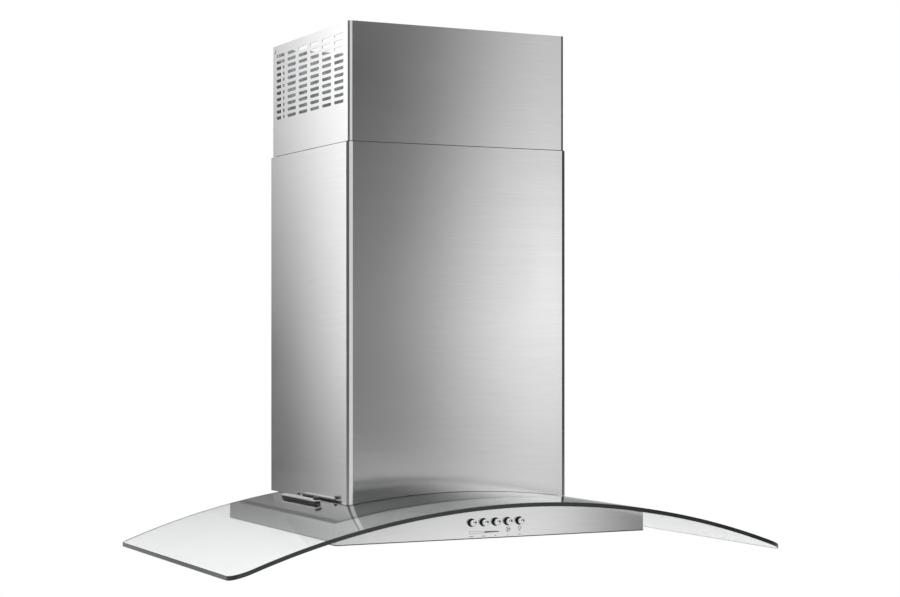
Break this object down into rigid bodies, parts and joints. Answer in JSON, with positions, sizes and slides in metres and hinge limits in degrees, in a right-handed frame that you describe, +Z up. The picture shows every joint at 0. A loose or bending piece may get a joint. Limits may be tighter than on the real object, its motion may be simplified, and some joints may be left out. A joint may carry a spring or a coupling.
{
  "type": "range hood",
  "caption": "Wall-mounted chimney range hood: arched glass canopy, telescoping steel chimney, push-button face, swing-down grease filters and a ducted blower.",
  "frame": {"origin": "centre of the four wall bolt holes, on the wall plane", "axes": "+X across the hood, +Y into the wall, +Z up; the control face looks along -Y"},
  "size_m": [0.9, 0.541, 0.8037],
  "materials": {
    "brushed_steel": "fine horizontal brushing",
    "deck_steel": "dull steel",
    "clamp_steel": "satin",
    "bright_steel": "bright turned steel",
    "button_chrome": "polished",
    "zinc_sheet": "zinc-coated sheet",
    "wheel_sheet": "pressed sheet",
    "motor_case": "cast",
    "filter_aluminium": "satin",
    "mesh_aluminium": "expanded mesh",
    "lamp_can": "spun",
    "canopy_glass": "clear, ground edge",
    "lens_glass": "frosted",
    "black_rubber": "matt",
    "black_plastic": "moulded",
    "can_plastic": "moulded"
  },
  "bodies": {
    "hood": {"blower_housing": "zinc_sheet", "bottom_panel": "brushed_steel", "cable_gland": "black_plastic", "canopy_deck": "deck_steel", "canopy_shell": "brushed_steel", "capacitor": "can_plastic", "capacitor_clip": "zinc_sheet", "clamp_pads": "black_rubber", "collar_screws": "bright_steel", "cover_clips": "zinc_sheet", "damper_pins": "bright_steel", "exhaust_collar": "black_plastic", "glass_beds": "black_rubber", "glass_canopy": "canopy_glass", "glass_clamp_left": "clamp_steel", "glass_clamp_right": "clamp_steel", "housing_feet": "zinc_sheet", "inlet_rings": "zinc_sheet", "lamp_bezels": "button_chrome", "lamp_bulbs": "lamp_can", "lamp_lenses": "lens_glass", "lid_screws": "bright_steel", "lower_cover": "brushed_steel", "motor": "motor_case", "motor_bracket": "zinc_sheet", "scroll": "zinc_sheet", "switch_block": "black_plastic", "switch_posts": "black_plastic", "terminal_block": "can_plastic", "wall_plate": "zinc_sheet", "wiring_box": "zinc_sheet", "wiring_box_lid": "zinc_sheet"},
    "upper_chimney": {"upper_cover": "brushed_steel", "cover_bracket": "zinc_sheet", "cover_screws": "bright_steel"},
    "wheel": {"impeller": "wheel_sheet", "motor_shaft": "bright_steel"},
    "flap_left": {"damper_flap_left": "black_plastic"},
    "flap_right": {"damper_flap_right": "black_plastic"},
    "filter_left": {"filter_frame_left": "filter_aluminium", "filter_mesh_left": "mesh_aluminium"},
    "filter_right": {"filter_frame_right": "filter_aluminium", "filter_mesh_right": "mesh_aluminium"},
    "latch_left": {"filter_latch_left": "bright_steel"},
    "latch_right": {"filter_latch_right": "bright_steel"},
    "button_speed_high": {"button_speed_high": "button_chrome"},
    "button_speed_middle": {"button_speed_middle": "button_chrome"},
    "button_speed_low": {"button_speed_low": "button_chrome"},
    "button_fan_off": {"button_fan_off": "button_chrome"},
    "button_light": {"button_light": "button_chrome"}
  },
  "joints": [
    {"name": "cover_slide", "type": "slide", "parent": "hood", "child": "upper_chimney", "axis": [0, 0, 1], "range_m": [-0.16, 0.25]},
    {"name": "wheel_spin", "type": "hinge", "parent": "hood", "child": "wheel", "pos_m": [0, -0.1795, 0.009], "axis": [1, 0, 0], "continuous": true},
    {"name": "flap_left_swing", "type": "hinge", "parent": "hood", "child": "flap_left", "pos_m": [-0.004, -0.14, 0.108], "axis": [0, 1, 0], "range_deg": [0, 82]},
    {"name": "flap_right_swing", "type": "hinge", "parent": "hood", "child": "flap_right", "pos_m": [0.004, -0.14, 0.108], "axis": [0, -1, 0], "range_deg": [0, 82]},
    {"name": "filter_left_swing", "type": "hinge", "parent": "hood", "child": "filter_left", "pos_m": [-0.12, -0.027, -0.149], "axis": [1, 0, 0], "range_deg": [0, 80]},
    {"name": "latch_left_slide", "type": "slide", "parent": "filter_left", "child": "latch_left", "axis": [0, 1, 0], "range_m": [0, 0.003], "stiffness_N_per_m": 400},
    {"name": "filter_right_swing", "type": "hinge", "parent": "hood", "child": "filter_right", "pos_m": [0.12, -0.027, -0.149], "axis": [1, 0, 0], "range_deg": [0, 80]},
    {"name": "latch_right_slide", "type": "slide", "parent": "filter_right", "child": "latch_right", "axis": [0, 1, 0], "range_m": [0, 0.003], "stiffness_N_per_m": 400},
    {"name": "button_speed_high_press", "type": "slide", "parent": "hood", "child": "button_speed_high", "axis": [0, 1, 0], "range_m": [0, 0.003], "stiffness_N_per_m": 400},
    {"name": "button_speed_middle_press", "type": "slide", "parent": "hood", "child": "button_speed_middle", "axis": [0, 1, 0], "range_m": [0, 0.003], "stiffness_N_per_m": 400},
    {"name": "button_speed_low_press", "type": "slide", "parent": "hood", "child": "button_speed_low", "axis": [0, 1, 0], "range_m": [0, 0.003], "stiffness_N_per_m": 400},
    {"name": "button_fan_off_press", "type": "slide", "parent": "hood", "child": "button_fan_off", "axis": [0, 1, 0], "range_m": [0, 0.003], "stiffness_N_per_m": 400},
    {"name": "button_light_press", "type": "slide", "parent": "hood", "child": "button_light", "axis": [0, 1, 0], "range_m": [0, 0.003], "stiffness_N_per_m": 400}
  ]
}
